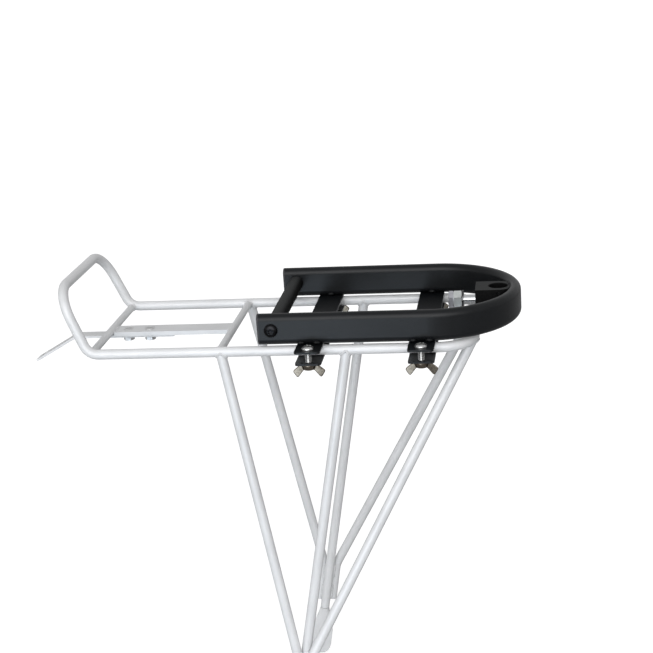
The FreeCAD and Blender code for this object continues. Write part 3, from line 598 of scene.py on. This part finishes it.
def build_wing_nuts():
    """Forged nut: hub and wings melted together by a remesh, then softened."""
    mesh = bmesh.new()
    hub = [
        (2.55, 0.0), (5.3, 0.0), (5.5, 0.25), (5.45, 1.2), (5.0, 2.3), (4.6, 3.5),
        (4.35, 4.2), (4.0, 4.5), (2.9, 4.5), (2.55, 4.2), (2.55, 0.0),
    ]
    lathe(mesh, [(r * MM, z * MM) for r, z in hub], NUT_SEGMENTS)
    bmesh.ops.remove_doubles(mesh, verts=mesh.verts, dist=1e-7)
    for sign in (LEFT, RIGHT):
        corners = wing_outline(sign)
        middle = sum(corners, Vector()) / len(corners)
        loops = []
        for depth, share in ((-1.15, 0.90), (-0.95, 0.98), (0.95, 0.98), (1.15, 0.90)):
            loop = []
            for corner in corners:
                spot = middle.lerp(corner, share)
                taper = 1.15 - 0.35 * min(1.0, abs(corner.x) / (12.0 * MM))
                loop.append(mesh.verts.new((spot.x, depth * MM * taper, spot.z)))
            loops.append(loop)
        for lower, upper in zip(loops, loops[1:]):
            join_rings(mesh, lower, upper)
        mesh.faces.new(reversed(loops[0]))
        mesh.faces.new(loops[-1])
    bmesh.ops.recalc_face_normals(mesh, faces=mesh.faces)
    data = bpy.data.meshes.new("wing_nut_raw")
    mesh.to_mesh(data)
    mesh.free()
    raw = bpy.data.objects.new("wing_nut_raw", data)
    bpy.context.scene.collection.objects.link(raw)
    remesh = raw.modifiers.new("melt", "REMESH")
    remesh.mode = "VOXEL"
    remesh.voxel_size = NUT_VOXEL
    smooth = raw.modifiers.new("soften", "SMOOTH")
    smooth.factor = 0.5
    smooth.iterations = 5
    depsgraph = bpy.context.evaluated_depsgraph_get()
    forged = bpy.data.meshes.new_from_object(raw.evaluated_get(depsgraph))
    bpy.data.objects.remove(raw)
    for end in ENDS:
        for side, _sign in SIDES:
            node = "wing_nut_%s_%s" % (end, side)
            low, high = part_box(node)
            piece_mesh = bmesh.new()
            piece_mesh.from_mesh(forged)
            matrix = axes_to(((low.x + high.x) / 2, (low.y + high.y) / 2, high.z), (0, 0, -1))
            bmesh.ops.transform(piece_mesh, matrix=matrix, verts=piece_mesh.verts)
            stand_in(node, piece_mesh, SMOOTH_ALL)


build_wing_nuts()


# ---------------------------------------------------------------- weld beads

def saddle_path(origin, direction, radius, centre, axis, rail_radius, count=48):
    """Where a rod from below meets a rail through centre that runs along axis."""
    across = Vector((direction.z, 0, -direction.x)).normalized()
    other = direction.cross(across).normalized()
    square_on = direction - axis * direction.dot(axis)
    path = []
    for step in range(count):
        angle = 2 * math.pi * step / count
        start = origin + (across * math.cos(angle) + other * math.sin(angle)) * radius
        apart = start - centre
        apart -= axis * apart.dot(axis)
        a = square_on.dot(square_on)
        b = 2 * square_on.dot(apart)
        c = apart.dot(apart) - rail_radius ** 2
        root = math.sqrt(max(0.0, b * b - 4 * a * c))
        path.append(start + direction * ((-b - root) / (2 * a)))
    return path


def rod_line(node, low_share, high_share):
    """Axis of the straight upper part of a strut, read from its own vertices."""
    vertices = [vert.co for vert in frame["nodes"][node].data.vertices]
    bottom = min(vert.z for vert in vertices)
    top = max(vert.z for vert in vertices)
    ends = []
    for share in (low_share, high_share):
        level_z = bottom + (top - bottom) * share
        ends.append(slice_centre(node, level_z))
    return ends[0], (ends[1] - ends[0]).normalized()


def slice_centre(node, height):
    """Middle of the section of a node at a height."""
    data = frame["nodes"][node].data
    low, high = Vector((1e9, 1e9)), Vector((-1e9, -1e9))
    for edge in data.edges:
        first, second = (data.vertices[index].co for index in edge.vertices)
        if (first.z - height) * (second.z - height) < 0:
            share = (height - first.z) / (second.z - first.z)
            spot = first.lerp(second, share)
            low = Vector((min(low.x, spot.x), min(low.y, spot.y)))
            high = Vector((max(high.x, spot.x), max(high.y, spot.y)))
    return Vector(((low.x + high.x) / 2, (low.y + high.y) / 2, height))


def add_carrier_weld(name, mesh):
    add_piece("weld_" + name, mesh, CARRIER_WELD, "rack", SMOOTH_ALL)


def add_frame_weld(name, mesh):
    add_piece(name, mesh, BLACK_WELD, "rack", SMOOTH_ALL)


def build_strut_welds():
    """Beads round the struts' tops. The rear ones meet the rail inside its corner."""
    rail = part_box("platform_loop")
    rail_z = rail[0].z + RAIL_RADIUS
    bend_start = rail[1].x - RAIL_RADIUS - REAR_BEND
    for name in ("front", "middle", "rear"):
        for side, sign in SIDES:
            node = "strut_%s_%s" % (name, side)
            origin, direction = rod_line(node, 0.80, 0.95)
            reach = (rail_z - origin.z) / direction.z
            top = origin + direction * reach
            turned = math.asin(max(0.0, min(1.0, (top.x - bend_start) / REAR_BEND)))
            axis = Vector((math.cos(turned), -sign * math.sin(turned), 0))
            mesh = bmesh.new()
            path = saddle_path(origin, direction, RAIL_RADIUS, top, axis, RAIL_RADIUS)
            rippled_bead(mesh, path, STRUT_BEAD, closed=True, seed=reach * 900 + sign)
            add_carrier_weld(node, mesh)


def build_bundle_welds():
    """Beads in the grooves between the struts, below the knee and at the lower ends."""
    for side, _sign in SIDES:
        for name in ("front", "rear"):
            outer, inner = "strut_%s_%s" % (name, side), "strut_middle_%s" % side
            for spot, (low_z, high_z) in enumerate(BUNDLE_RUNS):
                path = []
                for step in range(9):
                    height = (low_z + (high_z - low_z) * step / 8) * MM
                    first, second = slice_centre(outer, height), slice_centre(inner, height)
                    path.append((first + second) / 2)
                apart = slice_centre(outer, low_z * MM) - slice_centre(inner, low_z * MM)
                across = Vector((-apart.y, apart.x, 0)).normalized()
                for face in (LEFT, RIGHT):
                    mesh = bmesh.new()
                    moved = [point + across * face * BUNDLE_SPREAD for point in path]
                    rippled_bead(mesh, moved, BUNDLE_BEAD, BUNDLE_RIPPLE, seed=face + spot)
                    label = "front" if face == LEFT else "back"
                    add_carrier_weld("bundle_%s_%s_%d_%s" % (name, side, spot, label), mesh)


def build_crossbar_welds():
    """Beads round the ends of the two cross bars, following the rail's round side."""
    for node in ("hoop_crossbar", "middle_crossbar"):
        low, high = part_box(node)
        middle = (low + high) / 2
        radius = (high.z - low.z) / 2
        for side, sign in SIDES:
            end_y = high.y if sign > 0 else low.y
            path = []
            for step in range(40):
                angle = 2 * math.pi * step / 40
                drop = radius * math.sin(angle)
                bulge = RAIL_RADIUS - math.sqrt(RAIL_RADIUS ** 2 - drop ** 2)
                path.append(Vector((middle.x + radius * math.cos(angle),
                                    end_y + sign * (bulge - 0.15 * MM), middle.z + drop)))
            mesh = bmesh.new()
            rippled_bead(mesh, path, CROSSBAR_BEAD, closed=True, seed=sign)
            add_carrier_weld("%s_%s" % (node, side), mesh)


def build_bar_welds():
    """Beads across the ends of the central bar, clear of the strap under its front end."""
    low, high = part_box("central_bar")
    for label, x, z in (("front_top", low.x, high.z), ("rear_top", high.x, high.z),
                        ("rear_under", high.x, low.z)):
        path = [Vector((x, low.y + (high.y - low.y) * step / 12, z)) for step in range(1, 12)]
        mesh = bmesh.new()
        rippled_bead(mesh, path, BAR_BEAD, seed=z * 1000)
        add_carrier_weld("bar_" + label, mesh)


def build_strip_tacks():
    """Short tacks where the upper strips cross under the legs, inside and outside."""
    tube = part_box("coupling_frame")
    for end in ENDS:
        low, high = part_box("upper_strip_" + end)
        for side, sign in SIDES:
            leg_y = (tube[1].y if sign > 0 else tube[0].y) - sign * 5.0 * MM
            for place, off in (("outer", 4.4), ("inner", -4.4)):
                spots = (low.x + 3.2 * MM, high.x - 4.4 * MM) if place == "outer" else (
                    (low.x + high.x) / 2,)
                for share_name, x in zip("ab", spots):
                    path = []
                    for step in range(7):
                        run = (step - 3) / 3
                        path.append(Vector((x + run * TACK_HALF_RUN, leg_y + sign * off * MM,
                                            high.z + 1.5 * MM + 0.4 * MM * (1 - run * run))))
                    mesh = bmesh.new()
                    rippled_bead(mesh, path, TACK_BEAD, TACK_RIPPLE, seed=x * 1000 + sign)
                    add_frame_weld("tack_%s_%s_%s_%s" % (end, side, place, share_name), mesh)


def build_block_weld():
    """Bead round the top and bottom of the block, where it enters the bend."""
    low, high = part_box("coupling_block")
    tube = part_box("coupling_frame")
    bend = Vector((tube[1].x - FRAME_BEND, 0, 0))
    widest = math.asin(high.y / BLOCK_BEAD_RADIUS) - math.radians(1.2)
    for label, z, lift in (("top", high.z, 0.1), ("under", low.z, -0.1)):
        for side, sign in SIDES:
            path = []
            for step in range(15):
                angle = widest * (1 - step / 14) + math.radians(0.3) * step / 14
                path.append(bend + Vector((BLOCK_BEAD_RADIUS * math.cos(angle),
                                           BLOCK_BEAD_RADIUS * math.sin(angle) * sign,
                                           z + lift * MM)))
            mesh = bmesh.new()
            rippled_bead(mesh, path, BLOCK_BEAD, 1.0 * MM, seed=sign + z)
            add_frame_weld("weld_block_%s_%s" % (label, side), mesh)
    for side, sign in SIDES:
        y = high.y * sign
        x = bend.x + math.sqrt(FRAME_INNER_WALL ** 2 - y * y)
        path = [Vector((x, y, low.z + (high.z - low.z) * (0.20 + 0.64 * step / 14)))
                for step in range(15)]
        mesh = bmesh.new()
        rippled_bead(mesh, path, BLOCK_SIDE_BEAD, 1.2 * MM, seed=sign)
        add_frame_weld("weld_block_side_" + side, mesh)


build_strut_welds()
build_bundle_welds()
build_crossbar_welds()
build_bar_welds()
build_strip_tacks()
build_block_weld()


# ---------------------------------------------------------------- floor, light, camera

def build_stage():
    """Pale floor. The camera sees it lit evenly, while the object only sees its own colour."""
    low, _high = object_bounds()
    mesh = bmesh.new()
    bmesh.ops.create_grid(mesh, x_segments=2, y_segments=2, size=FLOOR_HALF_SIZE)
    data = bpy.data.meshes.new("floor")
    mesh.to_mesh(data)
    mesh.free()
    floor = bpy.data.objects.new("floor", data)
    floor.location = (0, 0, low.z - FLOOR_GAP)
    bpy.context.scene.collection.objects.link(floor)
    g = Graph("floor")
    tone = g.noise(3.0, 3.0)
    g.finish(g.mix(tone, (0.36, 0.36, 0.36), (0.40, 0.40, 0.40)), 0.9,
             Emission_Color=(1.0, 1.0, 1.0, 1.0))
    glow = g.maths("MULTIPLY", g.add("ShaderNodeLightPath").outputs["Is Camera Ray"], FLOOR_GLOW)
    g.feed(g.shader.inputs["Emission Strength"], glow)
    data.materials.append(g.material)

    build_card()
    build_world()


def build_card():
    """Small cool reflector low in front, mirrored by the flat side of the near leg."""
    data = bpy.data.lights.new("card", "AREA")
    data.shape = "RECTANGLE"
    data.size, data.size_y = CARD_SIZE
    data.energy = CARD_POWER
    data.color = CARD_COLOUR
    card = bpy.data.objects.new("card", data)
    spot = Vector(CARD_PLACE)
    card.matrix_world = axes_to(spot, spot - Vector(CARD_TARGET))
    bpy.context.scene.collection.objects.link(card)


def build_world():
    """Studio surround: one broad soft source in front and above, dim behind and overhead."""
    world = bpy.data.worlds.new("studio")
    world.use_nodes = True
    nodes, links = world.node_tree.nodes, world.node_tree.links
    direction = nodes.new("ShaderNodeTexCoord").outputs["Generated"]
    facing = nodes.new("ShaderNodeVectorMath")
    facing.operation = "DOT_PRODUCT"
    facing.inputs[1].default_value = Vector(SOURCE_DIRECTION).normalized()
    links.new(direction, facing.inputs[0])
    spread = nodes.new("ShaderNodeMapRange")
    spread.interpolation_type = "SMOOTHSTEP"
    for name, number in (("From Min", SOURCE_EDGE), ("From Max", 1.0),
                         ("To Min", DIM), ("To Max", BRIGHT)):
        spread.inputs[name].default_value = number
    links.new(facing.outputs["Value"], spread.inputs["Value"])
    path = nodes.new("ShaderNodeLightPath")
    strength = nodes.new("ShaderNodeMix")
    strength.data_type = "FLOAT"
    links.new(path.outputs["Is Camera Ray"], strength.inputs["Factor"])
    links.new(spread.outputs["Result"], strength.inputs["A"])
    strength.inputs["B"].default_value = BACKDROP
    background = nodes["Background"]
    background.inputs["Color"].default_value = (0.985, 0.99, 1.0, 1.0)
    links.new(strength.outputs["Result"], background.inputs["Strength"])
    bpy.context.scene.world = world


def build_camera():
    """Camera at the picture's place and turn."""
    data = bpy.data.cameras.new("camera")
    data.sensor_width = SENSOR_WIDTH
    data.sensor_fit = "HORIZONTAL"
    data.lens = LENS
    data.clip_start = 0.05
    data.clip_end = 50.0
    camera = bpy.data.objects.new("camera", data)
    azimuth, elevation, roll = (
        math.radians(turn) for turn in (CAMERA_AZIMUTH, CAMERA_ELEVATION, CAMERA_ROLL))
    back = Vector((math.sin(azimuth) * math.cos(elevation),
                   -math.cos(azimuth) * math.cos(elevation), math.sin(elevation)))
    right = Vector((math.cos(azimuth), math.sin(azimuth), 0.0))
    up = back.cross(right)
    turned_right = right * math.cos(roll) + up * math.sin(roll)
    turned_up = up * math.cos(roll) - right * math.sin(roll)
    turn = Matrix((turned_right, turned_up, back)).transposed().to_4x4()
    camera.matrix_world = Matrix.Translation(CAMERA_PLACE) @ turn
    bpy.context.scene.collection.objects.link(camera)
    bpy.context.scene.camera = camera


build_stage()
build_camera()
bpy.context.scene.view_settings.view_transform = "Standard"
